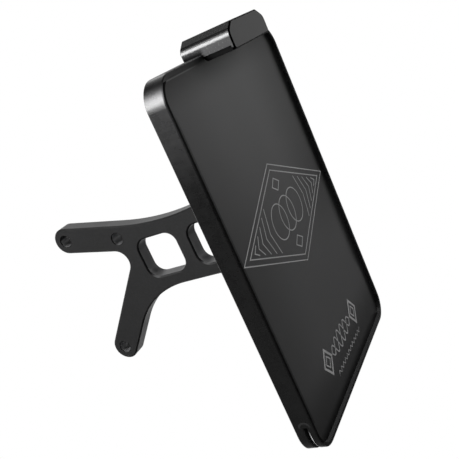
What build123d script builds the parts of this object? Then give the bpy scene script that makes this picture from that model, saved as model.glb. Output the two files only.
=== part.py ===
import math
import os

from build123d import *

os.makedirs("parts", exist_ok=True)

# Side mount number plate holder for a motorbike. Millimetres, +Z up, the plate faces -Y.
# The origin is the centre of the bore at the end of the arm's upper branch. X runs along the bores.

# Tray for an upright 160 x 220 mm number plate
PLATE_WIDTH = 160.0
PLATE_HEIGHT = 220.0
PLATE_GAP = 0.5
RIM_WIDTH = 2.5
TRAY_DEPTH = 12.0
TRAY_CORNER = 15.0
TRAY_EDGE = 0.5
RECESS_DEPTH = 2.4
TRAY_FRONT_Y = -168.5
TRAY_BOTTOM_Z = -145.0
SLOT_FROM_FRONT = 4.0
SLOT_WIDTH = 2.3
SLOT_HEIGHT = 21.0
SLOT_EDGE = 0.4

# Arm plate
ARM_THICKNESS = 12.0
ARM_EDGE = 1.0
ARM_TILT = 12.3
BRANCH_RADIUS = 9.5
BORE_DIAMETER = 8.5
BORE_EDGE = 0.5
BORE_PITCH = 43.5
TOP_STRAIGHT = 47.0
LEG_TILT = 49.4
LEG_BORE = (-4.2, -89.5)
BOTTOM_Z = -52.0
BOTTOM_STRAIGHT_Y = -102.5
END_TOP_Z = 7.1
END_LOW_Z = -63.2
FORK_RADIUS = 9.5
BELLY_RADIUS = 62.0
WINDOW_WIDTH = 31.0
WINDOW_HEIGHT = 28.7
WINDOW_RADIUS = 8.0
WINDOW_MID_Z = -29.0
WINDOW_PITCH = 41.3
OUTER_WINDOW_Y = -70.3

# Foot plate between the arm and the tray
FOOT_THICKNESS = 8.0
FOOT_WIDTH = 46.0
FOOT_HEIGHT = 78.0
FOOT_CORNER = 8.0
FOOT_EDGE = 1.0
FOOT_MID_Z = -28.0
FOOT_SCREW_INSET_X = 7.5
FOOT_SCREW_INSET_Z = 9.0

# M6 socket head screws, M6 countersunk screws and washers
M6 = 6.0
M6_CLEAR = 6.6
M6_HEAD = 10.0
M6_HEAD_HEIGHT = 6.0
M6_KEY = 5.0
M6_KEY_DEPTH = 3.0
M6_LENGTH = 16.0
M6_TAP_DEPTH = 8.0
M6_CSK_HEAD = 12.0
M6_CSK_KEY = 4.0
M6_CSK_KEY_DEPTH = 2.0
M6_CSK_LENGTH = 20.0
M6_CSK_TAP_DEPTH = 15.0
M6_CSK_PITCH = 40.0
WASHER_DIAMETER = 12.0
WASHER_THICKNESS = 1.6
THREAD_GAP = 0.05
CSK_ANGLE = 90.0
CSK_SINK = 0.2

# Plate light
LIGHT_WIDTH = 54.0
LIGHT_OVERHANG = 20.5
LIGHT_RISE = 10.6
LIGHT_DROP = 4.5
LIGHT_SLOPE_WIDTH = 7.5
LIGHT_SLOPE_HEIGHT = 4.65
LIGHT_SHOULDER = 5.0
LIGHT_LOW_CORNER = 2.0
LIGHT_EDGE = 0.8
LIGHT_REAR_EDGE = 0.5
SKIRT_DROP = 1.5
SKIRT_CORNER = 1.2
SKIRT_GAP = 0.2
FRONT_WALL = 2.0
SKIRT_LAND = 7.5
CAVITY_WIDTH = 11.0
CAVITY_HEIGHT = 8.5
CAVITY_CORNER = 2.0
M4 = 4.0
M4_CLEAR = 4.5
M4_HEAD = 7.0
M4_HEAD_HEIGHT = 4.0
M4_HEAD_GAP = 0.4
M4_KEY = 3.0
M4_KEY_DEPTH = 2.0
M4_LENGTH = 16.0
M4_TAP_DEPTH = 12.0
M4_INSET = 5.5

# Lens frame, lens and gasket under the light
FRAME_INSET = 0.8
FRAME_GAP = 0.1
FRAME_REAR_GAP = 0.6
FRAME_REAR_CORNER = 2.2
LENS_OVERLAP = 0.9
LENS_LIP = 1.5
LENS_FLANGE = 1.2
LENS_GAP = 0.15
LENS_CORNER = 2.5
GASKET_THICKNESS = 0.6
M25 = 2.5
M25_CLEAR = 2.9
M25_HEAD = 4.7
M25_LENGTH = 8.0
M25_TAP_DEPTH = 7.0
M25_INSET = 3.5
M25_KEY = 1.5
M25_KEY_DEPTH = 0.8

# Board with its diodes and resistors
BOARD_GAP = 0.7
BOARD_THICKNESS = 1.6
BOSS_HEIGHT = 3.4
BOSS_DIAMETER = 4.6
BOARD_SCREW_INSET = 3.0
M2 = 2.0
M2_CLEAR = 2.2
M2_HEAD = 3.8
M2_HEAD_HEIGHT = 1.3
M2_KEY = 1.3
M2_KEY_DEPTH = 0.6
M2_LENGTH = 4.0
M2_TAP_DEPTH = 3.0
CHIP_LENGTH = 3.5
CHIP_WIDTH = 2.8
CHIP_HEIGHT = 0.8
RESISTOR_LENGTH = 3.2
RESISTOR_WIDTH = 1.6
RESISTOR_HEIGHT = 0.6

# Cable outlet at the rear of the light
CABLE_BORE = 4.0
CABLE_RISE = 4.9
GROMMET_DIAMETER = 7.0
GROMMET_LENGTH = 3.0
GROMMET_FLANGE = 8.6
GROMMET_FLANGE_LENGTH = 1.0
GROMMET_BORE = 3.2

# Places that follow from the dimensions
TRAY_WIDTH = PLATE_WIDTH + 2 * (PLATE_GAP + RIM_WIDTH)
TRAY_HEIGHT = PLATE_HEIGHT + 2 * (PLATE_GAP + RIM_WIDTH)
TRAY_BACK_Y = TRAY_FRONT_Y + TRAY_DEPTH
TRAY_TOP_Z = TRAY_BOTTOM_Z + TRAY_HEIGHT
TRAY_MID_Z = TRAY_BOTTOM_Z + TRAY_HEIGHT / 2
ARM_END_Y = TRAY_BACK_Y + FOOT_THICKNESS
FOOT_SCREW_SPAN_X = FOOT_WIDTH - 2 * FOOT_SCREW_INSET_X
FOOT_SCREW_SPAN_Z = FOOT_HEIGHT - 2 * FOOT_SCREW_INSET_Z
SLOT_FRONT_Y = TRAY_FRONT_Y + SLOT_FROM_FRONT
SLOT_BACK_Y = SLOT_FRONT_Y + SLOT_WIDTH
SLOT_TOP_Z = TRAY_BOTTOM_Z + SLOT_HEIGHT
LIGHT_FRONT_Y = TRAY_FRONT_Y - LIGHT_OVERHANG
LIGHT_TOP_Z = TRAY_TOP_Z + LIGHT_RISE
LIGHT_BOTTOM_Z = TRAY_TOP_Z - LIGHT_DROP
SKIRT_Z = TRAY_TOP_Z - SKIRT_DROP
FRAME_FRONT_Y = LIGHT_FRONT_Y + FRONT_WALL + FRAME_GAP
FRAME_BACK_Y = TRAY_FRONT_Y - FRAME_REAR_GAP
FRAME_MID_Y = (FRAME_FRONT_Y + FRAME_BACK_Y) / 2
M4_Y = TRAY_FRONT_Y + TRAY_DEPTH / 2
M4_PITCH = LIGHT_WIDTH - 2 * (LIGHT_SLOPE_WIDTH + M4_INSET)
M25_PITCH = LIGHT_WIDTH - 2 * M25_INSET
CAVITY_LENGTH = LIGHT_WIDTH - 2 * SKIRT_LAND
BOARD_SCREW_PITCH = CAVITY_LENGTH - 2 * BOARD_SCREW_INSET
CHIP_PITCH = BOARD_SCREW_PITCH / 4
CABLE_Z = TRAY_TOP_Z + CABLE_RISE
SKIRT_BACK_Y = TRAY_FRONT_Y - SKIRT_GAP
BOARD_TOP_Z = SKIRT_Z + CAVITY_HEIGHT - BOSS_HEIGHT
BOARD_LOW_Z = BOARD_TOP_Z - BOARD_THICKNESS
LENS_LENGTH = CAVITY_LENGTH + 2 * LENS_OVERLAP
LENS_WIDTH = CAVITY_WIDTH + 2 * LENS_OVERLAP
LENS_FLANGE_Z = SKIRT_Z - LENS_FLANGE
GASKET_Z = LENS_FLANGE_Z - GASKET_THICKNESS


def heading(degrees):
    """Unit direction in the arm's plane, from the +Y axis towards +Z."""
    return math.cos(math.radians(degrees)), math.sin(math.radians(degrees))


def step(point, degrees, distance):
    """Point at a distance from another one, along a heading."""
    along = heading(degrees)
    return point[0] + distance * along[0], point[1] + distance * along[1]


def crossing(first, first_heading, second, second_heading):
    """Point where two lines in the arm's plane cross."""
    a = heading(first_heading)
    b = heading(second_heading)
    gap = (second[0] - first[0], second[1] - first[1])
    reach = (gap[0] * b[1] - gap[1] * b[0]) / (a[0] * b[1] - a[1] * b[0])
    return step(first, first_heading, reach)


def socket_screw(thread, length, head, head_height, key, key_depth):
    """Socket head screw, its head seated on Z 0 and its shank pointing down."""
    with BuildPart() as screw:
        with BuildSketch():
            Circle(head / 2)
        extrude(amount=head_height)
        with BuildSketch(Plane.XY.offset(head_height)):
            RegularPolygon(key / 2, 6, major_radius=False)
        extrude(amount=-key_depth, mode=Mode.SUBTRACT)
        with BuildSketch():
            Circle(thread / 2)
        extrude(amount=-length)
    return screw.part


def countersunk_screw(thread, length, head, key, key_depth):
    """Countersunk screw, the top of its head on Z 0 and its shank pointing down."""
    cone = (head - thread) / 2 / math.tan(math.radians(CSK_ANGLE / 2))
    with BuildPart() as screw:
        with BuildSketch(Plane.XZ):
            with BuildLine():
                Polyline(
                    (0, 0),
                    (head / 2, 0),
                    (thread / 2, -cone),
                    (thread / 2, -length),
                    (0, -length),
                    close=True,
                )
            make_face()
        revolve(axis=Axis.Z)
        with BuildSketch():
            RegularPolygon(key / 2, 6, major_radius=False)
        extrude(amount=-key_depth, mode=Mode.SUBTRACT)
    return screw.part


# Tray
with BuildPart() as plate_tray:
    with BuildSketch(Plane.XZ.offset(-TRAY_BACK_Y)):
        with Locations((0, TRAY_MID_Z)):
            RectangleRounded(TRAY_WIDTH, TRAY_HEIGHT, TRAY_CORNER)
    extrude(amount=TRAY_DEPTH)
    chamfer(plate_tray.faces().filter_by(Axis.Y).edges(), TRAY_EDGE)
    with BuildSketch(Plane.XZ.offset(-TRAY_FRONT_Y)):
        with Locations((0, TRAY_MID_Z)):
            RectangleRounded(
                TRAY_WIDTH - 2 * RIM_WIDTH,
                TRAY_HEIGHT - 2 * RIM_WIDTH,
                TRAY_CORNER - RIM_WIDTH,
            )
    extrude(amount=-RECESS_DEPTH, mode=Mode.SUBTRACT)
    with BuildSketch(Plane.XY.offset(TRAY_BOTTOM_Z)):
        with Locations((0, SLOT_FRONT_Y + SLOT_WIDTH / 2)):
            Rectangle(TRAY_WIDTH, SLOT_WIDTH)
    extrude(amount=SLOT_HEIGHT, mode=Mode.SUBTRACT)
    slot_edges = plate_tray.edges().filter_by_position(Axis.Y, SLOT_FRONT_Y, SLOT_BACK_Y)
    slot_mouth = slot_edges.filter_by_position(Axis.Z, TRAY_BOTTOM_Z, SLOT_TOP_Z - SLOT_WIDTH)
    chamfer(slot_mouth, SLOT_EDGE)
    with BuildSketch(Plane.XZ.offset(-TRAY_BACK_Y)):
        with Locations((0, FOOT_MID_Z)):
            with GridLocations(FOOT_SCREW_SPAN_X, FOOT_SCREW_SPAN_Z, 2, 2):
                Circle(M6 / 2 + THREAD_GAP)
    extrude(amount=M6_TAP_DEPTH, mode=Mode.SUBTRACT)
    with BuildSketch(Plane.XY.offset(TRAY_TOP_Z)):
        with Locations((0, M4_Y)):
            with GridLocations(M4_PITCH, 1, 2, 1):
                Circle(M4 / 2 + THREAD_GAP)
    extrude(amount=-M4_TAP_DEPTH, mode=Mode.SUBTRACT)
plate_tray.part.label = "plate_tray"
export_step(plate_tray.part, "parts/plate_tray.step")

# Arm, drawn in the YZ plane and grown to both sides
UPPER_BORE = (0.0, 0.0)
MIDDLE_BORE = step(UPPER_BORE, ARM_TILT + 180, BORE_PITCH)
UPPER_TOP = step(UPPER_BORE, ARM_TILT + 90, BRANCH_RADIUS)
UPPER_TIP = step(UPPER_BORE, ARM_TILT, BRANCH_RADIUS)
UPPER_LOW = step(UPPER_BORE, ARM_TILT - 90, BRANCH_RADIUS)
TOP_CURVE_START = step(UPPER_TOP, ARM_TILT + 180, TOP_STRAIGHT)
LEG_OUTER = step(LEG_BORE, 90 - LEG_TILT, BRANCH_RADIUS)
LEG_TIP = step(LEG_BORE, -LEG_TILT, BRANCH_RADIUS)
LEG_INNER = step(LEG_BORE, -90 - LEG_TILT, BRANCH_RADIUS)
FORK = crossing(UPPER_LOW, ARM_TILT, LEG_OUTER, -LEG_TILT)
BOTTOM_CURVE_START = (BOTTOM_STRAIGHT_Y, BOTTOM_Z)
BELLY = crossing(BOTTOM_CURVE_START, 0, LEG_INNER, -LEG_TILT)

with BuildPart() as arm_bracket:
    with BuildSketch(Plane.YZ) as arm_outline:
        with BuildLine():
            Line(UPPER_TOP, TOP_CURVE_START)
            TangentArc(TOP_CURVE_START, (ARM_END_Y, END_TOP_Z), tangent=heading(ARM_TILT + 180))
            Line((ARM_END_Y, END_TOP_Z), (ARM_END_Y, END_LOW_Z))
            TangentArc(BOTTOM_CURVE_START, (ARM_END_Y, END_LOW_Z), tangent=heading(180))
            Line(BOTTOM_CURVE_START, BELLY)
            Line(BELLY, LEG_INNER)
            ThreePointArc(LEG_INNER, LEG_TIP, LEG_OUTER)
            Line(LEG_OUTER, FORK)
            Line(FORK, UPPER_LOW)
            ThreePointArc(UPPER_LOW, UPPER_TIP, UPPER_TOP)
        make_face()
        fillet(arm_outline.vertices().sort_by_distance(FORK)[0], FORK_RADIUS)
        fillet(arm_outline.vertices().sort_by_distance(BELLY)[0], BELLY_RADIUS)
        with Locations((OUTER_WINDOW_Y, WINDOW_MID_Z), (OUTER_WINDOW_Y - WINDOW_PITCH, WINDOW_MID_Z)):
            RectangleRounded(WINDOW_WIDTH, WINDOW_HEIGHT, WINDOW_RADIUS, mode=Mode.SUBTRACT)
    extrude(amount=ARM_THICKNESS / 2, both=True)
    side_faces = arm_bracket.faces().filter_by(Axis.X)
    end_edges = side_faces.edges().filter_by_position(Axis.Y, ARM_END_Y, ARM_END_Y)
    chamfer([edge for edge in side_faces.edges() if edge not in end_edges], ARM_EDGE)
    with BuildSketch(Plane.YZ):
        with Locations(UPPER_BORE, MIDDLE_BORE, LEG_BORE):
            Circle(BORE_DIAMETER / 2)
    extrude(amount=ARM_THICKNESS / 2, both=True, mode=Mode.SUBTRACT)
    bore_rims = arm_bracket.faces().filter_by(Axis.X).edges().filter_by(GeomType.CIRCLE)
    chamfer([rim for rim in bore_rims if rim.is_closed], BORE_EDGE)
    with BuildSketch(Plane.XZ.offset(-ARM_END_Y)):
        with Locations((0, FOOT_MID_Z)):
            with GridLocations(1, M6_CSK_PITCH, 1, 2):
                Circle(M6 / 2 + THREAD_GAP)
    extrude(amount=-M6_CSK_TAP_DEPTH, mode=Mode.SUBTRACT)
arm_bracket.part.label = "arm_bracket"
export_step(arm_bracket.part, "parts/arm_bracket.step")

# Foot plate
with BuildPart() as arm_foot:
    with BuildSketch(Plane.XZ.offset(-ARM_END_Y)):
        with Locations((0, FOOT_MID_Z)):
            RectangleRounded(FOOT_WIDTH, FOOT_HEIGHT, FOOT_CORNER)
    extrude(amount=FOOT_THICKNESS)
    chamfer(arm_foot.faces().sort_by(Axis.Y)[-1].edges(), FOOT_EDGE)
    with BuildSketch(Plane.XZ.offset(-ARM_END_Y)):
        with Locations((0, FOOT_MID_Z)):
            with GridLocations(FOOT_SCREW_SPAN_X, FOOT_SCREW_SPAN_Z, 2, 2):
                Circle(M6_CLEAR / 2)
    extrude(amount=FOOT_THICKNESS, mode=Mode.SUBTRACT)
    with Locations(Plane.XZ.offset(-TRAY_BACK_Y)):
        with Locations((0, FOOT_MID_Z)):
            with GridLocations(1, M6_CSK_PITCH, 1, 2):
                CounterSinkHole(M6_CLEAR / 2, M6_CSK_HEAD / 2 + CSK_SINK, FOOT_THICKNESS, CSK_ANGLE)
arm_foot.part.label = "arm_foot"
export_step(arm_foot.part, "parts/arm_foot.step")

arm_screw = countersunk_screw(M6, M6_CSK_LENGTH, M6_CSK_HEAD, M6_CSK_KEY, M6_CSK_KEY_DEPTH)
with BuildPart() as arm_foot_screws:
    with Locations(Plane.XZ.offset(-TRAY_BACK_Y - CSK_SINK)):
        with Locations((0, FOOT_MID_Z)):
            with GridLocations(1, M6_CSK_PITCH, 1, 2):
                add(arm_screw)
arm_foot_screws.part.label = "arm_foot_screws"
export_step(arm_foot_screws.part, "parts/arm_foot_screws.step")

tray_screw = socket_screw(M6, M6_LENGTH, M6_HEAD, M6_HEAD_HEIGHT, M6_KEY, M6_KEY_DEPTH)
with BuildPart() as foot_tray_screws:
    with Locations(Plane.ZX.offset(ARM_END_Y + WASHER_THICKNESS)):
        with Locations((FOOT_MID_Z, 0)):
            with GridLocations(FOOT_SCREW_SPAN_Z, FOOT_SCREW_SPAN_X, 2, 2):
                add(tray_screw)
foot_tray_screws.part.label = "foot_tray_screws"
export_step(foot_tray_screws.part, "parts/foot_tray_screws.step")

with BuildPart() as foot_tray_washers:
    with BuildSketch(Plane.ZX.offset(ARM_END_Y)):
        with Locations((FOOT_MID_Z, 0)):
            with GridLocations(FOOT_SCREW_SPAN_Z, FOOT_SCREW_SPAN_X, 2, 2):
                Circle(WASHER_DIAMETER / 2)
                Circle(M6_CLEAR / 2, mode=Mode.SUBTRACT)
    extrude(amount=WASHER_THICKNESS)
foot_tray_washers.part.label = "foot_tray_washers"
export_step(foot_tray_washers.part, "parts/foot_tray_washers.step")

# Body of the plate light: its front outline, cut to its stepped side view
with BuildPart() as light_housing:
    with BuildSketch(Plane.XZ.offset(-TRAY_BACK_Y)) as light_section:
        with BuildLine():
            Polyline(
                (0, LIGHT_BOTTOM_Z),
                (LIGHT_WIDTH / 2, LIGHT_BOTTOM_Z),
                (LIGHT_WIDTH / 2, LIGHT_TOP_Z - LIGHT_SLOPE_HEIGHT),
                (LIGHT_WIDTH / 2 - LIGHT_SLOPE_WIDTH, LIGHT_TOP_Z),
                (0, LIGHT_TOP_Z),
                close=True,
            )
        make_face()
        shoulder = light_section.vertices().group_by(Axis.X)[-1].sort_by(Axis.Y)[-1]
        fillet(shoulder, LIGHT_SHOULDER)
        mirror(about=Plane.YZ)
    extrude(amount=TRAY_BACK_Y - LIGHT_FRONT_Y)
    with BuildSketch(Plane.YZ) as light_side:
        with BuildLine():
            Polyline(
                (LIGHT_FRONT_Y, LIGHT_BOTTOM_Z),
                (LIGHT_FRONT_Y + FRONT_WALL, LIGHT_BOTTOM_Z),
                (LIGHT_FRONT_Y + FRONT_WALL, SKIRT_Z),
                (SKIRT_BACK_Y, SKIRT_Z),
                (SKIRT_BACK_Y, TRAY_TOP_Z),
                (TRAY_BACK_Y, TRAY_TOP_Z),
                (TRAY_BACK_Y, LIGHT_TOP_Z),
                (LIGHT_FRONT_Y, LIGHT_TOP_Z),
                close=True,
            )
        make_face()
        fillet(light_side.vertices().sort_by_distance((SKIRT_BACK_Y, SKIRT_Z))[0], SKIRT_CORNER)
    extrude(amount=LIGHT_WIDTH, both=True, mode=Mode.INTERSECT)
    low_edges = light_housing.edges().filter_by(Axis.Y).group_by(Axis.Z)[0]
    fillet(low_edges, LIGHT_LOW_CORNER)
    chamfer(light_housing.faces().sort_by(Axis.Y)[0].edges(), LIGHT_EDGE)
    chamfer(light_housing.faces().sort_by(Axis.Y)[-1].edges(), LIGHT_REAR_EDGE)
    with BuildSketch(Plane.XY.offset(SKIRT_Z)):
        with Locations((0, FRAME_MID_Y)):
            RectangleRounded(CAVITY_LENGTH, CAVITY_WIDTH, CAVITY_CORNER)
    extrude(amount=CAVITY_HEIGHT, mode=Mode.SUBTRACT)
    with BuildSketch(Plane.XY.offset(BOARD_TOP_Z)):
        with Locations((0, FRAME_MID_Y)):
            with GridLocations(BOARD_SCREW_PITCH, 1, 2, 1):
                Circle(BOSS_DIAMETER / 2)
    extrude(amount=BOSS_HEIGHT)
    with BuildSketch(Plane.XY.offset(BOARD_TOP_Z)):
        with Locations((0, FRAME_MID_Y)):
            with GridLocations(BOARD_SCREW_PITCH, 1, 2, 1):
                Circle(M2 / 2 + THREAD_GAP)
    extrude(amount=M2_TAP_DEPTH, mode=Mode.SUBTRACT)
    with BuildSketch(Plane.XY.offset(SKIRT_Z)):
        with Locations((0, FRAME_MID_Y)):
            with GridLocations(M25_PITCH, 1, 2, 1):
                Circle(M25 / 2 + THREAD_GAP)
    extrude(amount=M25_TAP_DEPTH, mode=Mode.SUBTRACT)
    with Locations(Plane.XY.offset(LIGHT_TOP_Z)):
        with Locations((0, M4_Y)):
            with GridLocations(M4_PITCH, 1, 2, 1):
                CounterBoreHole(M4_CLEAR / 2, M4_HEAD / 2 + M4_HEAD_GAP, M4_HEAD_HEIGHT + M4_HEAD_GAP)
    with BuildSketch(Plane.XZ.offset(-TRAY_BACK_Y)):
        with Locations((0, CABLE_Z)):
            Circle(CABLE_BORE / 2)
    extrude(amount=TRAY_BACK_Y - FRAME_MID_Y, mode=Mode.SUBTRACT)
    with BuildSketch(Plane.XZ.offset(-TRAY_BACK_Y)):
        with Locations((0, CABLE_Z)):
            Circle(GROMMET_DIAMETER / 2)
    extrude(amount=GROMMET_LENGTH, mode=Mode.SUBTRACT)
light_housing.part.label = "light_housing"
export_step(light_housing.part, "parts/light_housing.step")

light_screw = socket_screw(M4, M4_LENGTH, M4_HEAD, M4_HEAD_HEIGHT, M4_KEY, M4_KEY_DEPTH)
with BuildPart() as light_housing_screws:
    with Locations(Plane.XY.offset(LIGHT_TOP_Z - M4_HEAD_HEIGHT - M4_HEAD_GAP)):
        with Locations((0, M4_Y)):
            with GridLocations(M4_PITCH, 1, 2, 1):
                add(light_screw)
light_housing_screws.part.label = "light_housing_screws"
export_step(light_housing_screws.part, "parts/light_housing_screws.step")

# Frame that closes the light from below
with BuildPart() as lens_frame:
    with BuildSketch(Plane.XY.offset(LIGHT_BOTTOM_Z)):
        with Locations((0, FRAME_MID_Y)):
            Rectangle(LIGHT_WIDTH - 2 * FRAME_INSET, FRAME_BACK_Y - FRAME_FRONT_Y)
    extrude(amount=SKIRT_Z - LIGHT_BOTTOM_Z)
    fillet(lens_frame.edges().filter_by(Axis.X).group_by(Axis.Z)[0].sort_by(Axis.Y)[-1], FRAME_REAR_CORNER)
    with BuildSketch(Plane.XY.offset(SKIRT_Z)):
        with Locations((0, FRAME_MID_Y)):
            Rectangle(LENS_LENGTH + 2 * LENS_GAP, LENS_WIDTH + 2 * LENS_GAP)
    extrude(amount=GASKET_Z - SKIRT_Z, mode=Mode.SUBTRACT)
    with BuildSketch(Plane.XY.offset(GASKET_Z)):
        with Locations((0, FRAME_MID_Y)):
            RectangleRounded(LENS_LENGTH - 2 * LENS_LIP, LENS_WIDTH - 2 * LENS_LIP, LENS_CORNER)
    extrude(amount=LIGHT_BOTTOM_Z - GASKET_Z, mode=Mode.SUBTRACT)
    with Locations(Plane(origin=(0, FRAME_MID_Y, LIGHT_BOTTOM_Z), z_dir=(0, 0, -1))):
        with GridLocations(M25_PITCH, 1, 2, 1):
            CounterSinkHole(M25_CLEAR / 2, M25_HEAD / 2 + CSK_SINK, SKIRT_Z - LIGHT_BOTTOM_Z, CSK_ANGLE)
lens_frame.part.label = "lens_frame"
export_step(lens_frame.part, "parts/lens_frame.step")

frame_screw = countersunk_screw(M25, M25_LENGTH, M25_HEAD, M25_KEY, M25_KEY_DEPTH)
with BuildPart() as lens_frame_screws:
    with Locations(Plane(origin=(0, FRAME_MID_Y, LIGHT_BOTTOM_Z + CSK_SINK), z_dir=(0, 0, -1))):
        with GridLocations(M25_PITCH, 1, 2, 1):
            add(frame_screw)
lens_frame_screws.part.label = "lens_frame_screws"
export_step(lens_frame_screws.part, "parts/lens_frame_screws.step")

# Lens with its flange on the gasket and its window flush with the frame
with BuildPart() as light_lens:
    with BuildSketch(Plane.XY.offset(LENS_FLANGE_Z)):
        with Locations((0, FRAME_MID_Y)):
            Rectangle(LENS_LENGTH, LENS_WIDTH)
    extrude(amount=LENS_FLANGE)
    with BuildSketch(Plane.XY.offset(LIGHT_BOTTOM_Z)):
        with Locations((0, FRAME_MID_Y)):
            RectangleRounded(
                LENS_LENGTH - 2 * (LENS_LIP + LENS_GAP),
                LENS_WIDTH - 2 * (LENS_LIP + LENS_GAP),
                LENS_CORNER - LENS_GAP,
            )
    extrude(amount=LENS_FLANGE_Z - LIGHT_BOTTOM_Z)
light_lens.part.label = "light_lens"
export_step(light_lens.part, "parts/light_lens.step")

with BuildPart() as lens_gasket:
    with BuildSketch(Plane.XY.offset(GASKET_Z)):
        with Locations((0, FRAME_MID_Y)):
            Rectangle(LENS_LENGTH, LENS_WIDTH)
            RectangleRounded(
                LENS_LENGTH - 2 * LENS_LIP,
                LENS_WIDTH - 2 * LENS_LIP,
                LENS_CORNER,
                mode=Mode.SUBTRACT,
            )
    extrude(amount=GASKET_THICKNESS)
lens_gasket.part.label = "lens_gasket"
export_step(lens_gasket.part, "parts/lens_gasket.step")

# Board under the bosses, with its parts on the underside
with BuildPart() as led_board:
    with BuildSketch(Plane.XY.offset(BOARD_LOW_Z)):
        with Locations((0, FRAME_MID_Y)):
            Rectangle(CAVITY_LENGTH - 2 * BOARD_GAP, CAVITY_WIDTH - 2 * BOARD_GAP)
            with GridLocations(BOARD_SCREW_PITCH, 1, 2, 1):
                Circle(M2_CLEAR / 2, mode=Mode.SUBTRACT)
    extrude(amount=BOARD_THICKNESS)
led_board.part.label = "led_board"
export_step(led_board.part, "parts/led_board.step")

with BuildPart() as led_chips:
    with BuildSketch(Plane.XY.offset(BOARD_LOW_Z)):
        with Locations((0, FRAME_MID_Y)):
            with GridLocations(CHIP_PITCH, 1, 3, 1):
                Rectangle(CHIP_LENGTH, CHIP_WIDTH)
    extrude(amount=-CHIP_HEIGHT)
led_chips.part.label = "led_chips"
export_step(led_chips.part, "parts/led_chips.step")

with BuildPart() as board_resistors:
    with BuildSketch(Plane.XY.offset(BOARD_LOW_Z)):
        with Locations((0, FRAME_MID_Y)):
            with GridLocations(CHIP_PITCH, 1, 2, 1):
                Rectangle(RESISTOR_WIDTH, RESISTOR_LENGTH)
    extrude(amount=-RESISTOR_HEIGHT)
board_resistors.part.label = "board_resistors"
export_step(board_resistors.part, "parts/board_resistors.step")

board_screw = socket_screw(M2, M2_LENGTH, M2_HEAD, M2_HEAD_HEIGHT, M2_KEY, M2_KEY_DEPTH)
with BuildPart() as board_screws:
    with Locations(Plane(origin=(0, FRAME_MID_Y, BOARD_LOW_Z), z_dir=(0, 0, -1))):
        with GridLocations(BOARD_SCREW_PITCH, 1, 2, 1):
            add(board_screw)
board_screws.part.label = "board_screws"
export_step(board_screws.part, "parts/board_screws.step")

# Grommet, its body in the housing and its flange on the rear face
with BuildPart() as cable_grommet:
    with BuildSketch(Plane.XZ.offset(-TRAY_BACK_Y)):
        with Locations((0, CABLE_Z)):
            Circle(GROMMET_DIAMETER / 2)
    extrude(amount=GROMMET_LENGTH)
    with BuildSketch(Plane.XZ.offset(-TRAY_BACK_Y)):
        with Locations((0, CABLE_Z)):
            Circle(GROMMET_FLANGE / 2)
    extrude(amount=-GROMMET_FLANGE_LENGTH)
    with BuildSketch(Plane.XZ.offset(-TRAY_BACK_Y - GROMMET_FLANGE_LENGTH)):
        with Locations((0, CABLE_Z)):
            Circle(GROMMET_BORE / 2)
    extrude(amount=GROMMET_LENGTH + GROMMET_FLANGE_LENGTH, mode=Mode.SUBTRACT)
cable_grommet.part.label = "cable_grommet"
export_step(cable_grommet.part, "parts/cable_grommet.step")
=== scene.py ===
import math
from functools import cached_property

import bmesh
import bpy
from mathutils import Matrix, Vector


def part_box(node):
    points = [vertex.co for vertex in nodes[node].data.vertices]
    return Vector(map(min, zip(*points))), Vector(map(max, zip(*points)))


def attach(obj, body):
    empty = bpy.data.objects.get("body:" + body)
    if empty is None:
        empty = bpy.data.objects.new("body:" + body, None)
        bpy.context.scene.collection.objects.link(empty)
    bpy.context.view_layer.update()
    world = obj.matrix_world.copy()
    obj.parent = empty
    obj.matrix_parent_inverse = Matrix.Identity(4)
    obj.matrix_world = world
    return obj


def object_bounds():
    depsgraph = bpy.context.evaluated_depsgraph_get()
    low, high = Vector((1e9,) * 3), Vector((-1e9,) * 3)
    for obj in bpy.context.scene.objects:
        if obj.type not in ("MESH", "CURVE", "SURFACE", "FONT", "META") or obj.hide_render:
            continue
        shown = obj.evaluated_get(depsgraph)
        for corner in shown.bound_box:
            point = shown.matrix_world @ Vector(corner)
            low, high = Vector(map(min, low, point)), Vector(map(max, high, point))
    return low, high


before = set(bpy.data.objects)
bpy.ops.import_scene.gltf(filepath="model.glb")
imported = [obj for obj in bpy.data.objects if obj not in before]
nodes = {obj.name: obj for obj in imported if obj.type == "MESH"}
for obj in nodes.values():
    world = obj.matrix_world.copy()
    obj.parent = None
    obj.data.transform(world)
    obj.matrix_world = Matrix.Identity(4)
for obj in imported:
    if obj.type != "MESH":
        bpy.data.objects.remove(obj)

cad_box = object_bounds()
MM = 0.001

# Outer planes of the tray in the row frame, in metres
tray_low, tray_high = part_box("plate_tray")
TRAY_LEFT, TRAY_FRONT, TRAY_BOTTOM = tray_low
TRAY_RIGHT, TRAY_TOP = tray_high[0], tray_high[2]
MID_Z = (TRAY_BOTTOM + TRAY_TOP) / 2

# Its corners, and the inner planes of its recess
CORNER = 15 * MM
RIM = 2.5 * MM
WALL_LEFT = TRAY_LEFT + RIM
WALL_RIGHT = TRAY_RIGHT - RIM
WALL_BOTTOM = TRAY_BOTTOM + RIM
WALL_TOP = TRAY_TOP - RIM
FLOOR_Y = TRAY_FRONT + 2.4 * MM

# Looks that several materials share, and the cosine from which a face lies square to an axis
COOL = (1.0, 1.0, 1.02)
NEUTRAL = (1.0, 1.0, 1.0)
AMBER = (1.0, 0.8, 0.3)
BLACK = 0.001
FLAT = 0.9
NOISE_SPAN = (0.3, 0.7)

# Noises of the plain satin materials, and how far they move height, tone and roughness
CLOUDS = {"scale": 60.0, "detail": 3.0}
GRAIN = {"scale": 1400.0, "detail": 2.0}
GRAIN_HEIGHT = 0.04 * MM
TONE_SWING = 0.15
ROUGH_SWING = (-0.04, 0.05)


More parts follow.
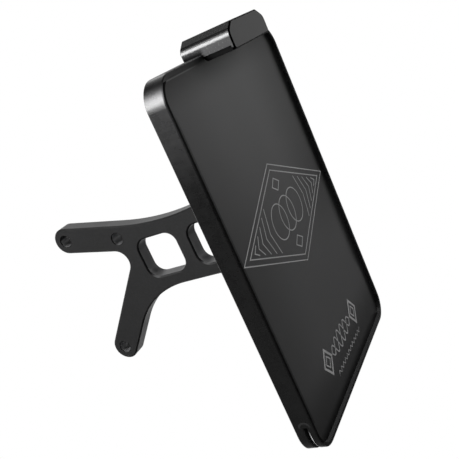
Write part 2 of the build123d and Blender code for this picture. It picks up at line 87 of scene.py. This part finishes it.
class Field:
    """A number that varies from place to place, with arithmetic that adds nodes."""

    def __init__(self, graph, socket):
        self.graph = graph
        self.socket = socket

    def __add__(self, other):
        return self.graph.math("ADD", self, other)

    def __sub__(self, other):
        return self.graph.math("SUBTRACT", self, other)

    def __rsub__(self, other):
        return self.graph.math("SUBTRACT", other, self)

    def __mul__(self, other):
        return self.graph.math("MULTIPLY", self, other)

    def __truediv__(self, other):
        return self.graph.math("DIVIDE", self, other)

    def __abs__(self):
        return self.graph.math("ABSOLUTE", self)

    def __lt__(self, other):
        return self.graph.math("LESS_THAN", self, other)

    def __gt__(self, other):
        return self.graph.math("GREATER_THAN", self, other)

    def remap(self, start, end, first, last, interpolation):
        """The number from first to last that stands for the field's place from start to end."""
        node = self.graph.new(
            "ShaderNodeMapRange", self, start, end, first, last, interpolation_type=interpolation
        )
        return Field(self.graph, node.outputs[0])

    def ease(self, start, end, first, last):
        """Smooth step from the first number to the last while the field runs from start to end."""
        return self.remap(start, end, first, last, "SMOOTHSTEP")

    def spread(self, low, high, span=NOISE_SPAN):
        """Even step from low to high over the span that a noise mostly fills."""
        return self.remap(*span, low, high, "LINEAR")


class Graph:
    """A node tree with short calls for the nodes used here."""

    def __init__(self, tree):
        self.tree = tree

    def feed(self, socket, source):
        """Give a socket a number, a tuple, a field or the output of a node."""
        if isinstance(source, (int, float, tuple)):
            socket.default_value = source
        elif isinstance(source, Field):
            self.tree.links.new(source.socket, socket)
        else:
            self.tree.links.new(source, socket)

    def new(self, kind, *sources, **values):
        """Add a node, set its properties and feed its first inputs in order."""
        node = self.tree.nodes.new(kind)
        for key, value in values.items():
            setattr(node, key, value)
        for socket, source in zip(node.inputs, sources):
            self.feed(socket, source)
        return node

    def math(self, operation, *sources, clamp=False):
        """Field of a calculation with numbers."""
        node = self.new("ShaderNodeMath", *sources, operation=operation, use_clamp=clamp)
        return Field(self, node.outputs[0])

    def largest(self, first, *others):
        """Field of the largest among its sources."""
        for other in others:
            first = self.math("MAXIMUM", first, other)
        return first

    def distance(self, across, up):
        """Length of the way that goes across and up."""
        return self.math("SQRT", across * across + up * up)

    def blend(self, factor, first, second):
        """Go from the first number or field to the second as the factor goes from 0 to 1."""
        node = self.new("ShaderNodeMix", data_type="FLOAT")
        for index, source in ((0, factor), (2, first), (3, second)):
            self.feed(node.inputs[index], source)
        return Field(self, node.outputs[0])

    def vector(self, operation, *sources):
        """Output of a calculation with vectors."""
        return self.new("ShaderNodeVectorMath", *sources, operation=operation).outputs[0]

    def axes(self, source):
        """Fields of a vector's x, y and z."""
        return [Field(self, output) for output in self.new("ShaderNodeSeparateXYZ", source).outputs]


class Surface(Graph):
    """A new material, with the inputs of its shader."""

    def __init__(self, name):
        self.material = bpy.data.materials.new(name)
        self.material.use_nodes = True
        super().__init__(self.material.node_tree)
        self.inputs = self.tree.nodes["Principled BSDF"].inputs

    @cached_property
    def coords(self):
        """The place in the object's own axes, which are those of the row frame."""
        return self.new("ShaderNodeTexCoord").outputs["Object"]

    @cached_property
    def place(self):
        """Fields of the place along x, y and z."""
        return self.axes(self.coords)

    @cached_property
    def facing(self):
        """Fields of the true normal along x, y and z."""
        return self.axes(self.new("ShaderNodeNewGeometry").outputs["True Normal"])

    def noise(self, scale, detail, roughness=0.55, stretch=(1.0, 1.0, 1.0)):
        """Field of a noise, mostly between the ends of NOISE_SPAN."""
        mapping = self.new("ShaderNodeMapping", self.coords)
        mapping.inputs["Scale"].default_value = stretch
        node = self.new("ShaderNodeTexNoise", mapping.outputs[0])
        for key, value in (("Scale", scale), ("Detail", detail), ("Roughness", roughness)):
            node.inputs[key].default_value = value
        return Field(self, node.outputs["Fac"])

    def colour(self, tone, tint=COOL):
        """Base colour from a grey tone and a faint tint."""
        node = self.new("ShaderNodeVectorMath", tint, operation="SCALE")
        self.feed(node.inputs["Scale"], tone)
        self.feed(self.inputs["Base Color"], node.outputs[0])

    def bump(self, height, distance):
        """Raise the surface by up to a distance where the height is 1."""
        node = self.new("ShaderNodeBump")
        node.inputs["Distance"].default_value = distance
        node.inputs["Strength"].default_value = 1.0
        self.feed(node.inputs["Height"], height)
        self.feed(self.inputs["Normal"], node.outputs[0])

    def set(self, **sources):
        """Feed inputs of the shader by name."""
        for key, source in sources.items():
            self.feed(self.inputs[key.replace("_", " ")], source)


# Plain satin materials
def mottle(surface, grain):
    """A faint mottle with a fine grain, raised by a hair."""
    tone = surface.blend(0.4, surface.noise(**CLOUDS), surface.noise(**GRAIN))
    surface.bump(tone, GRAIN_HEIGHT * grain)
    return tone


def mottled_rough(tone, rough):
    """Roughness that swings about a middle with the mottle."""
    less, more = ROUGH_SWING
    return tone.spread(rough + less, rough + more)


def satin(name, base, rough, specular, grain=1.0, tint=COOL):
    """A satin surface whose tone and gloss are lightly mottled."""
    surface = Surface(name)
    tone = mottle(surface, grain)
    surface.colour(tone.spread(base * (1 - TONE_SWING), base * (1 + TONE_SWING)), tint)
    surface.set(Roughness=mottled_rough(tone, rough), Specular_IOR_Level=specular)
    return surface


# Tray: places of the slot's left end, in its bottom edge
SLOT_Z = TRAY_BOTTOM + 21 * MM
SLOT_LIP_Y = TRAY_FRONT + 3.8 * MM
SLOT_AXIS_Y = TRAY_FRONT + 5.1 * MM
LIP_HALF = 0.35 * MM
ARC_RADIUS = 3.2 * MM
ARC_HALF = 0.6 * MM

# Its noises
BRUSHED = {"scale": 900.0, "detail": 3.0, "roughness": 0.6, "stretch": (1.0, 0.03, 1.0)}
SCUFFED = {"scale": 160.0, "detail": 4.0, "roughness": 0.6}
BLASTED = {"scale": 1500.0, "detail": 2.0}

# Its tones
SIDE_TONE = (0.001, 0.003)
# Painted light up the tray's sides, and a painted highlight in its upper left turn
SIDE_PAINTED_LIGHT = 0.030
TURN_PAINTED_HIGHLIGHT = 0.16
# Painted highlights on the slot's lip and in an arc over its end
LIP_PAINTED_HIGHLIGHT = 0.85
ARC_PAINTED_HIGHLIGHT = 0.018
WALL_TONE = 0.024
# Painted light on the lowest recess wall, fading to painted shade at its right end
LOWEST_WALL_PAINTED_LIGHT = (0.03, 0.008)
FLOOR_TONE = (0.020, 0.027)
# Painted light below the floor's middle and painted shade near its bottom
FLOOR_PAINTED_LIGHT = 1.35
FLOOR_PAINTED_SHADE = 0.85
GLINT_PAINTED_HIGHLIGHT = 0.07

# Its roughness
SIDE_ROUGH = (0.24, 0.32)
FLOOR_ROUGH = (0.48, 0.54)
RIM_ROUGH = 0.80
TOP_RIM_ROUGH = 0.45
LOW_RIM_ROUGH = 0.30
ROOF_ROUGH = 0.52

# Its painted shade, from 0 for the plain finish to 1 for black
# The rim's near black is painted shade over its black finish, on the top rim and, fading towards the
# right end, on the others
TOP_RIM_PAINTED_SHADE = 0.6
LOWER_RIM_PAINTED_SHADE = (0.97, 0.45)
ROOF_PAINTED_SHADE = 0.7
BEND_PAINTED_SHADE = 0.68


def outer_tone(tray, wear, turn_x, turn_z):
    """Tone of the tray's brushed sides, with painted light that grows upwards and a painted highlight
    in the upper left turn.
    """
    side_light = tray.place[2].ease(TRAY_TOP - 66 * MM, TRAY_TOP - 15 * MM, 0.0, SIDE_PAINTED_LIGHT)
    turn_highlight = turn_z.ease(0.10, 0.35, 0.0, 1.0) * turn_x.ease(-0.3, -0.7, 0.0, TURN_PAINTED_HIGHLIGHT)
    turn_highlight = turn_highlight * turn_z.ease(0.38, 0.65, 1.0, 0.0)
    return wear.spread(*SIDE_TONE) + (side_light + turn_highlight)


def slot_painted_highlight(tray):
    """Painted highlight on the lip of the slot's left end, with a faint painted highlight in an arc
    over it.
    """
    x, y, z = tray.place
    rise = z - SLOT_Z
    lip = abs(y - SLOT_LIP_Y) < LIP_HALF
    lip = lip * rise.ease(-1.5 * MM, -7 * MM, 0.0, LIP_PAINTED_HIGHLIGHT)
    lip = lip * x.ease(TRAY_LEFT + 6 * MM, TRAY_LEFT + 3 * MM, 0.0, 1.0)
    arc = abs(tray.distance(y - SLOT_AXIS_Y, rise) - ARC_RADIUS) < ARC_HALF
    return lip + arc * rise.ease(-1 * MM, 2 * MM, 0.0, ARC_PAINTED_HIGHLIGHT)


def wall_tone(tray, inner):
    """Tone of the recess walls, where the lowest one, which faces up, has painted light that fades to
    painted shade at its right end.
    """
    x, _, z = tray.place
    lowest = inner * (z < TRAY_BOTTOM + CORNER)
    lowest_light = x.ease(TRAY_RIGHT - 21 * MM, TRAY_RIGHT - 1 * MM, *LOWEST_WALL_PAINTED_LIGHT)
    return tray.blend(lowest, WALL_TONE, lowest_light)


def floor_tone(tray, fine):
    """Tone of the recess floor, with painted light below its middle and painted shade again near the
    bottom.
    """
    z = tray.place[2]
    paler = z.ease(TRAY_BOTTOM + 135 * MM, TRAY_BOTTOM + 70 * MM, 1.0, FLOOR_PAINTED_LIGHT)
    darker = z.ease(TRAY_BOTTOM + 43 * MM, TRAY_BOTTOM + 18 * MM, 1.0, FLOOR_PAINTED_SHADE)
    return fine.spread(*FLOOR_TONE) * (paler * darker)


def floor_light(tray):
    """Share of the light that reaches the recess floor, which falls towards its walls."""
    x, _, z = tray.place
    edge_wide, edge_narrow = WALL_RIGHT - 15 * MM, WALL_RIGHT - 8 * MM
    edge_start = z.ease(TRAY_BOTTOM + 33 * MM, TRAY_BOTTOM + 57 * MM, edge_narrow, edge_wide)
    right_edge = x.ease(edge_start, WALL_RIGHT - 3 * MM, 1.0, 0.28)
    right_share = z.ease(TRAY_BOTTOM + 65 * MM, TRAY_BOTTOM + 125 * MM, 0.98, 0.50)
    right_half = x.ease(WALL_RIGHT - 70 * MM, WALL_RIGHT - 8 * MM, 1.0, right_share)
    bottom_edge = z.ease(WALL_BOTTOM + 1.5 * MM, WALL_BOTTOM + 7 * MM, 0.25, 1.0)
    bottom_part = z.ease(WALL_BOTTOM + 7 * MM, WALL_BOTTOM + 35 * MM, 0.6, 1.0)
    top_part = z.ease(WALL_TOP - 20 * MM, WALL_TOP, 1.0, 0.55)
    left_half = x.ease(WALL_LEFT, WALL_LEFT + 65 * MM, 0.75, 1.0)
    left_line = x.ease(WALL_LEFT + 5.2 * MM, WALL_LEFT + 6.1 * MM, 1.0, 0.0)
    left_line = left_line * z.ease(WALL_TOP - 26 * MM, WALL_TOP - 12 * MM, 0.55, 0.0)
    left_line = left_line * z.ease(WALL_BOTTOM + 13 * MM, WALL_BOTTOM + 19 * MM, 0.0, 1.0)
    light = right_edge * right_half * bottom_edge * bottom_part * top_part * left_half
    return light * (1.0 - left_line)


def tray_metal():
    """Satin floor, near black rim and brushed sides, with painted light, highlights and shade; the
    rim's near black is painted shade over its black finish.
    """
    tray = Surface("tray_anodised")
    x, y, z = tray.place
    facing_x, facing_y, facing_z = tray.facing
    turn_x = (x - (TRAY_LEFT + CORNER)) / CORNER
    turn_z = (z - (TRAY_TOP - CORNER)) / CORNER

    # Zones, 1 inside and 0 outside
    flat = abs(facing_y) > FLAT
    rim = flat * (y < TRAY_FRONT + 1.2 * MM)
    bed = flat * (y < FLOOR_Y + 0.2 * MM) * (1.0 - rim)
    inward = x * facing_x + (z - MID_Z) * facing_z
    inner = (inward < -0.5 * MM) * (y < FLOOR_Y + 0.1 * MM)
    top_rim = z > WALL_TOP - 1 * MM
    low_rim = z < WALL_BOTTOM + 5 * MM
    # Painted shade on the flat top face
    roof = (facing_z > 0.997) * (z > MID_Z)
    # Painted shade high in the upper left turn, above its painted highlight
    bend = turn_z.ease(0.59, 0.80, 0.0, BEND_PAINTED_SHADE) * turn_z.ease(0.93, 0.97, 1.0, 0.0)
    bend = bend * (turn_x < -0.1) * (1.0 - flat)
    # A painted glint: a pale line on the floor just below the top rim, on its left part, with no
    # painted shade on it
    glint = abs(z - (WALL_TOP - 1.3 * MM)) < 0.4 * MM
    glint = bed * (glint * x.ease(TRAY_LEFT + 55 * MM, TRAY_LEFT + 41 * MM, 0.0, 0.5))

    # Tone
    wear = tray.blend(0.75, tray.noise(**BRUSHED), tray.noise(**SCUFFED))
    fine = tray.noise(**BLASTED)
    outer = outer_tone(tray, wear, turn_x, turn_z) + slot_painted_highlight(tray)
    sides = tray.blend(inner, outer, wall_tone(tray, inner))
    tone = tray.blend(flat, sides, floor_tone(tray, fine)) + glint * GLINT_PAINTED_HIGHLIGHT

    # Roughness
    rough = tray.blend(flat, wear.spread(*SIDE_ROUGH, span=(0.35, 0.65)), fine.spread(*FLOOR_ROUGH))
    rim_rough = tray.blend(top_rim, RIM_ROUGH, TOP_RIM_ROUGH)
    rim_rough = tray.blend(low_rim, rim_rough, LOW_RIM_ROUGH)
    rough = tray.blend(rim, rough, rim_rough)
    rough = tray.blend(roof, rough, ROOF_ROUGH)

    # Painted shade and the rim's near black go to Metallic as well, because a black metal reflects
    # nothing
    shade = bed * (1.0 - floor_light(tray))
    # Painted shade that makes the rim near black
    rim_shade = rim * tray.blend(top_rim, x.ease(0.0, 60 * MM, *LOWER_RIM_PAINTED_SHADE), TOP_RIM_PAINTED_SHADE)
    dark = tray.largest(shade, rim_shade, roof * ROOF_PAINTED_SHADE, bend)
    dark = tray.blend(glint, dark, 0.0)

    tray.colour(tray.blend(dark, tone, BLACK))
    tray.set(Roughness=rough, Metallic=dark, Specular_IOR_Level=0.5)
    tray.bump(tray.blend(flat, wear, fine), 0.03 * MM)
    return tray


# Arm: middle height, half height and last y of the zone of its windows, and its bores as (y, z)
WINDOW_Z = -30 * MM
WINDOW_HALF = 18 * MM
WINDOW_END_Y = -50 * MM
BORES = ((0.0, 0.0), (-42.5 * MM, -9.3 * MM), (-4.2 * MM, -89.5 * MM))
BORE_REACH = 4.6 * MM

# Its tones, roughness and darkness
FACE_NOISE = {"scale": 700.0, "detail": 3.0}
FACE_TONE = (0.013, 0.019)
ARM_WALL_TONE = 0.022
# Painted light on the walls of the windows and bores
OPENING_PAINTED_LIGHT = 0.22
OPENING_DARK = 0.22
ARM_EDGE_TONE = 0.006
ARM_EDGE_DARK = 0.45
# Painted highlight on the windows' lower broken edges
SILL_PAINTED_HIGHLIGHT = 0.06
ARM_ROUGH = 0.45


def arm_metal():
    """Satin faces, paler walls, painted light in the bores and windows, and dark broken edges with a
    painted highlight on the sill.
    """
    arm = Surface("arm_anodised")
    _, y, z = arm.place
    facing_x, facing_y, facing_z = arm.facing
    across = abs(facing_x)
    wall = across < 0.4
    side = wall * (z < 1.5 * MM)
    broken = (across < FLAT) - wall
    window = (abs(z - WINDOW_Z) < WINDOW_HALF) * (y < WINDOW_END_Y)
    # Painted highlight on the sill, the windows' broken edges that face up and forward
    sill = window * broken * facing_z.ease(0.35, 0.6, 0.0, 1.0) * facing_y.ease(0.1, -0.5, 0.2, 0.8)
    # Painted light inside the windows, most on walls that face least upwards, and inside the bores
    opening = window * facing_z.ease(0.3, 1.0, 1.0, 0.22)
    for bore_y, bore_z in BORES:
        opening = arm.largest(opening, arm.distance(y - bore_y, z - bore_z) < BORE_REACH)
    opening = opening * side

    tone = arm.blend(side, arm.noise(**FACE_NOISE).spread(*FACE_TONE), ARM_WALL_TONE)
    tone = arm.blend(opening, tone, OPENING_PAINTED_LIGHT)
    arm.colour(arm.blend(broken, tone, arm.blend(sill, ARM_EDGE_TONE, SILL_PAINTED_HIGHLIGHT)))
    dark = arm.largest((broken - sill) * ARM_EDGE_DARK, opening * OPENING_DARK)
    rough = mottled_rough(mottle(arm, 1.0), ARM_ROUGH)
    arm.set(Roughness=rough, Metallic=dark, Specular_IOR_Level=0.36)
    return arm


# Light
LIGHT_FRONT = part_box("light_housing")[0][1]
LIGHT_NOISE = {"scale": 1200.0, "detail": 3.0}
LIGHT_TONE = (0.003, 0.005)
# Painted light on the light's left side
LIGHT_SIDE_PAINTED_LIGHT = 0.085
LIGHT_FRONT_TONE = 0.004
LIGHT_ROUGH = (0.22, 0.29)
LIGHT_MATT_ROUGH = 0.52

# Its painted shade and shadow, from 0 for the plain finish to 1 for black
FOOT_PAINTED_SHADOW = 0.95
BROKEN_PAINTED_SHADE = 0.95
UNDER_PAINTED_SHADE = 0.8
CREASE_PAINTED_SHADE = 0.6
TOP_PAINTED_SHADE = 0.5


def light_metal():
    """Satin sides with painted light on the left one, matt front and top, and painted shade on the
    top, the underside, a crease and the left broken edges, with a painted shadow on its foot over the
    tray.
    """
    light = Surface("light_anodised")
    _, y, z = light.place
    facing_x, facing_y, facing_z = light.facing
    front = facing_y < -0.95
    side = facing_x < -FLAT
    top = facing_z > 0.95
    under = facing_z < -0.2
    crease = abs(facing_z - 0.77) < 0.06
    broken = light.math("SUBTRACT", y < LIGHT_FRONT + 0.9 * MM, front, clamp=True)
    broken = broken * (facing_x < -0.15)
    # Painted shadow where the light's foot sits over the tray
    foot = z.ease(TRAY_TOP + 0.3 * MM, TRAY_TOP + 4.8 * MM, FOOT_PAINTED_SHADOW, 0.0)
    foot = foot * y.ease(TRAY_FRONT - 2.5 * MM, TRAY_FRONT + 0.5 * MM, 0.0, 1.0) * side

    grain = light.noise(**LIGHT_NOISE)
    # Painted light on the left side
    tone = light.blend(side, grain.spread(*LIGHT_TONE), LIGHT_SIDE_PAINTED_LIGHT)
    tone = light.blend(front, tone, LIGHT_FRONT_TONE)
    rough = light.blend(light.largest(front, top), grain.spread(*LIGHT_ROUGH), LIGHT_MATT_ROUGH)
    # Painted shade on the crease, the left broken edges, the top and the underside
    edges = light.largest(crease * CREASE_PAINTED_SHADE, broken * BROKEN_PAINTED_SHADE)
    dark = light.largest(foot, edges, top * TOP_PAINTED_SHADE, under * UNDER_PAINTED_SHADE)
    light.colour(light.blend(dark, tone, BLACK))
    light.set(Roughness=rough, Metallic=dark, Specular_IOR_Level=0.5)
    mottle(light, 0.6)
    return light


tray = tray_metal()
arm = arm_metal()
light_body = light_metal()
frame_black = satin("frame_black", base=0.002, rough=0.45, specular=0.08)
rubber = satin("seal_rubber", base=0.012, rough=0.65, specular=0.3)
steel = satin("screw_steel", base=0.42, rough=0.30, specular=0.5)
steel.set(Metallic=1.0)
board = satin("board_mask", base=0.62, rough=0.45, specular=0.4, grain=0.3)
chip = satin("chip_resin", base=0.75, rough=0.25, specular=0.5, grain=0.3, tint=AMBER)
line_pale = satin("line_pale", base=0.24, rough=0.50, specular=0.5, grain=0.3, tint=NEUTRAL)
resistor = satin("resistor_ceramic", base=0.03, rough=0.5, specular=0.4, grain=0.3)
lens = satin("lens_clear", base=0.85, rough=0.08, specular=0.5, grain=0.2)
lens.set(Transmission_Weight=1.0, IOR=1.58)

finish = {
    "plate_tray": tray,
    "arm_bracket": arm,
    "arm_foot": arm,
    "arm_foot_screws": steel,
    "foot_tray_screws": steel,
    "foot_tray_washers": steel,
    "light_housing": light_body,
    "light_housing_screws": steel,
    "lens_frame": frame_black,
    "lens_frame_screws": steel,
    "light_lens": lens,
    "lens_gasket": rubber,
    "led_board": board,
    "led_chips": chip,
    "board_resistors": resistor,
    "board_screws": steel,
    "cable_grommet": rubber,
}
for name, surface in finish.items():
    slots = nodes[name].data.materials
    for index in range(len(slots)):
        slots[index] = surface.material

# Ornament on the recess floor, all in mm: a bar's height over the floor and depth in it
LINE_RISE = 0.04
LINE_SINK = 0.008
SHARPEST_MITRE = 0.4

# Line widths
BOLD = 1.6
MEDIUM = 0.9
LINE = 0.65
HAIR = 0.5

# Tracery: its middle, its inner lozenge and the margin to the outer one, rings and chevrons
TRACERY_Z = -26.5
TRACERY_HALF_X, TRACERY_HALF_Z = 66, 29
MARGIN_X, MARGIN_Z = 9, 4
RING_RADIUS, RING_PITCH = 11, 14
EYE_OFFSET, EYE_HALF_X, EYE_HALF_Z = 19.5, 6, 4
CHEVRONS = 5
CHEVRON_START, CHEVRON_PITCH, CHEVRON_DEPTH, CHEVRON_GAP = 28, 6.5, 4.5, 2.2

# Scroll: its middle, its end lozenges as (x, half width), braid and zigzag
SCROLL_Z = -116.0
SCROLL_ENDS = ((-30, 7.5), (32, 7.0))
END_HALF_Z, END_INNER_HALF_Z = 8.5, 4.0
BRAID_START, BRAID_LENGTH, BRAID_HALF = -21, 44, 6.0
BRAID_STEPS, BRAID_LOBES = 120, 6
ZIGZAG_START, ZIGZAG_PITCH, ZIGZAG_Z, ZIGZAG_HALF = -23, 2.4, -129.8, 1.3
ZIGZAG_POINTS = 24


def strip(mesh, points, width, closed=False):
    """Add a thin closed bar that follows a line of (x, z) points."""
    count = len(points)
    rings = []
    for index, point in enumerate(points):
        here = Vector(point)
        before = Vector(points[index - 1]) if closed or index else here
        after = Vector(points[(index + 1) % count]) if closed or index < count - 1 else here
        arriving = (here - before).normalized()
        leaving = (after - here).normalized()
        way = (arriving + leaving).normalized()
        mitre = max(way.dot(leaving if leaving.length else arriving), SHARPEST_MITRE)
        across = Vector((-way.y, way.x)) * width / 2 / mitre
        ring = []
        for sign, rise in ((1, -LINE_SINK), (1, LINE_RISE), (-1, LINE_RISE), (-1, -LINE_SINK)):
            x, z = here + across * sign
            ring.append(mesh.verts.new((x * MM, FLOOR_Y - rise * MM, z * MM)))
        rings.append(ring)
    pairs = list(zip(rings, rings[1:]))
    if closed:
        pairs.append((rings[-1], rings[0]))
    else:
        mesh.faces.new(rings[0])
        mesh.faces.new(reversed(rings[-1]))
    for one, two in pairs:
        for k in range(4):
            mesh.faces.new((one[k], two[k], two[(k + 1) % 4], one[(k + 1) % 4]))


def ornament(name, lines):
    """One piece from (points, width, closed) lines, riding on the body."""
    mesh = bmesh.new()
    for points, width, closed in lines:
        strip(mesh, points, width, closed)
    bmesh.ops.recalc_face_normals(mesh, faces=mesh.faces)
    data = bpy.data.meshes.new(name)
    mesh.to_mesh(data)
    mesh.free()
    data.materials.append(line_pale.material)
    piece = bpy.data.objects.new(name, data)
    bpy.context.scene.collection.objects.link(piece)
    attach(piece, "root")


def lozenge(x, z, half_x, half_z):
    return [(x - half_x, z), (x, z + half_z), (x + half_x, z), (x, z - half_z)]


def circle(x, z, radius, steps=72):
    turns = [2 * math.pi * k / steps for k in range(steps)]
    return [(x + radius * math.cos(t), z + radius * math.sin(t)) for t in turns]


def tracery():
    """Long double lozenge with three linked rings and rows of chevrons."""
    outer_x, outer_z = TRACERY_HALF_X + MARGIN_X, TRACERY_HALF_Z + MARGIN_Z
    lines = [(lozenge(0, TRACERY_Z, outer_x, outer_z), LINE, True)]
    lines.append((lozenge(0, TRACERY_Z, TRACERY_HALF_X, TRACERY_HALF_Z), LINE, True))
    for turn in (-1, 0, 1):
        lines.append((circle(turn * RING_PITCH, TRACERY_Z, RING_RADIUS), LINE, True))
    for side in (-1, 1):
        eye = lozenge(0, TRACERY_Z + side * EYE_OFFSET, EYE_HALF_X, EYE_HALF_Z)
        lines.append((eye, LINE, True))
    for side in (-1, 1):
        for step in range(CHEVRONS):
            x = CHEVRON_START + CHEVRON_PITCH * step
            tall = (TRACERY_HALF_X - x) / TRACERY_HALF_X * TRACERY_HALF_Z - CHEVRON_GAP
            tip = (side * (x + CHEVRON_DEPTH), TRACERY_Z)
            chevron = [(side * x, TRACERY_Z + tall), tip, (side * x, TRACERY_Z - tall)]
            lines.append((chevron, LINE, False))
    return lines


def scroll():
    """Braid between two nested lozenges, over a zigzag."""
    lines = []
    for x, half_x in SCROLL_ENDS:
        lines.append((lozenge(x, SCROLL_Z, half_x, END_HALF_Z), BOLD, True))
        lines.append((lozenge(x, SCROLL_Z, half_x / 2, END_INNER_HALF_Z), MEDIUM, True))
    for sign in (-1, 1):
        strand = []
        for k in range(BRAID_STEPS + 1):
            part = k / BRAID_STEPS
            swell = math.sin(math.pi * part) ** 0.5
            sway = BRAID_HALF * swell * math.sin(BRAID_LOBES * math.pi * part)
            strand.append((BRAID_START + BRAID_LENGTH * part, SCROLL_Z + sign * sway))
        lines.append((strand, MEDIUM, False))
    zigzag = []
    for k in range(ZIGZAG_POINTS):
        zigzag.append((ZIGZAG_START + ZIGZAG_PITCH * k, ZIGZAG_Z - ZIGZAG_HALF * (-1) ** k))
    lines.append((zigzag, HAIR, False))
    return lines


ornament("floor_tracery", tracery())
ornament("floor_scroll", scroll())

# Stage, in metres
FLOOR_HALF = 2.5
FLOOR_DROP = 0.30
PAPER_GREY = (0.12, 0.12, 0.12, 1.0)
WHITE = (1.0, 1.0, 1.0, 1.0)
ROOM_STRENGTH = 0.06
STAGE_CENTRE = (0.0, -0.1, 0.0)
WORLD_CENTRE = (0.0, 0.0, 0.0)
LAMP_AIM = (0.0, -0.16, 0.0)
FILL_AIM = (0.0, -0.166, 0.03)


def white_rays(graph, point, centre):
    """One for camera rays, and for mirrored or clear rays that leave behind the object.

    Behind is where x and y grow, but not steeply up.
    """
    path = graph.new("ShaderNodeLightPath").outputs
    x, y, z = graph.axes(graph.vector("NORMALIZE", graph.vector("SUBTRACT", point, centre)))
    behind = x.ease(0.1, 0.4, 0.0, 1.0) * y.ease(0.05, 0.30, 0.0, 1.0) * z.ease(0.9, 0.5, 0.0, 1.0)
    bent = graph.math("ADD", path["Is Glossy Ray"], path["Is Transmission Ray"])
    bent = graph.math("MULTIPLY", bent, behind, clamp=True)
    return graph.math("ADD", path["Is Camera Ray"], bent, clamp=True)


def show_white(graph, output, plain, white, point, centre):
    """Show the white shader to those rays, and the plain one to all others."""
    pick = graph.new("ShaderNodeMixShader", white_rays(graph, point, centre), plain, white)
    graph.feed(graph.tree.nodes[output].inputs["Surface"], pick.outputs[0])


def paper_material():
    """Matt grey paper that the camera sees as white."""
    paper = Surface("paper")
    paper.set(Base_Color=PAPER_GREY, Roughness=0.9, Specular_IOR_Level=0.0)
    plain = paper.tree.nodes["Principled BSDF"].outputs[0]
    glow = paper.new("ShaderNodeEmission", WHITE, 1.0).outputs[0]
    position = paper.new("ShaderNodeNewGeometry").outputs["Position"]
    show_white(paper, "Material Output", plain, glow, position, STAGE_CENTRE)
    return paper.material


floor_mesh = bpy.data.meshes.new("floor")
floor_z = cad_box[0][2] - FLOOR_DROP
corners = [(x * FLOOR_HALF, y * FLOOR_HALF, floor_z) for x, y in ((-1, -1), (1, -1), (1, 1), (-1, 1))]
floor_mesh.from_pydata(corners, [], [(0, 1, 2, 3)])
floor = bpy.data.objects.new("floor", floor_mesh)
bpy.context.scene.collection.objects.link(floor)
floor_mesh.materials.append(paper_material())

world = bpy.data.worlds.new("studio")
bpy.context.scene.world = world
world.use_nodes = True
studio = Graph(world.node_tree)
room = studio.tree.nodes["Background"]
room.inputs["Color"].default_value = WHITE
room.inputs["Strength"].default_value = ROOM_STRENGTH
backdrop = studio.new("ShaderNodeBackground", WHITE, 1.0).outputs[0]
direction = studio.new("ShaderNodeTexCoord").outputs["Generated"]
show_white(studio, "World Output", room.outputs[0], backdrop, direction, WORLD_CENTRE)


def softbox(name, place, target, width, height, radiance):
    """A soft rectangular lamp at a place, facing a target, with its width level."""
    data = bpy.data.lights.new(name, "AREA")
    data.shape = "RECTANGLE"
    data.size = width
    data.size_y = height
    data.energy = radiance * math.pi * width * height
    lamp = bpy.data.objects.new(name, data)
    lamp.location = place
    lamp.rotation_euler = (Vector(place) - Vector(target)).to_track_quat("Z", "Y").to_euler()
    bpy.context.scene.collection.objects.link(lamp)


softbox("key", (-1.60, 0.70, 0.85), LAMP_AIM, width=0.40, height=1.0, radiance=29.0)
softbox("key_low", (-1.70, 0.90, -0.30), LAMP_AIM, width=0.8, height=0.8, radiance=0.10)
softbox("key_high", (-1.20, 0.60, 1.60), LAMP_AIM, width=0.6, height=0.8, radiance=8.0)
softbox("top", (0.0, -0.30, 1.90), LAMP_AIM, width=1.0, height=1.0, radiance=13.0)
softbox("fill", (0.15, -0.85, 0.25), FILL_AIM, width=0.55, height=0.45, radiance=5.4)
softbox("front", (1.75, -0.85, -0.05), LAMP_AIM, width=0.7, height=0.8, radiance=1.25)

# Camera of the photograph, whose focal length and shift are in its pixels
PHOTO_SIZE = 459
PHOTO_FOCAL = 722.66
PHOTO_SHIFT = (-0.3, 0.8)
SENSOR = 36.0
CAMERA_PLACE = (-0.387348, -0.350794, 0.089795)
CAMERA_TURN = (74.0478, 23.5659, -66.108)

camera_data = bpy.data.cameras.new("camera")
camera_data.sensor_width = SENSOR
camera_data.lens = SENSOR * PHOTO_FOCAL / PHOTO_SIZE
camera_data.clip_start = 0.01
camera_data.shift_x = PHOTO_SHIFT[0] / PHOTO_SIZE
camera_data.shift_y = PHOTO_SHIFT[1] / PHOTO_SIZE
camera = bpy.data.objects.new("camera", camera_data)
camera.location = CAMERA_PLACE
camera.rotation_euler = [math.radians(turn) for turn in CAMERA_TURN]
bpy.context.scene.collection.objects.link(camera)
bpy.context.scene.camera = camera
bpy.context.scene.view_settings.view_transform = "Standard"
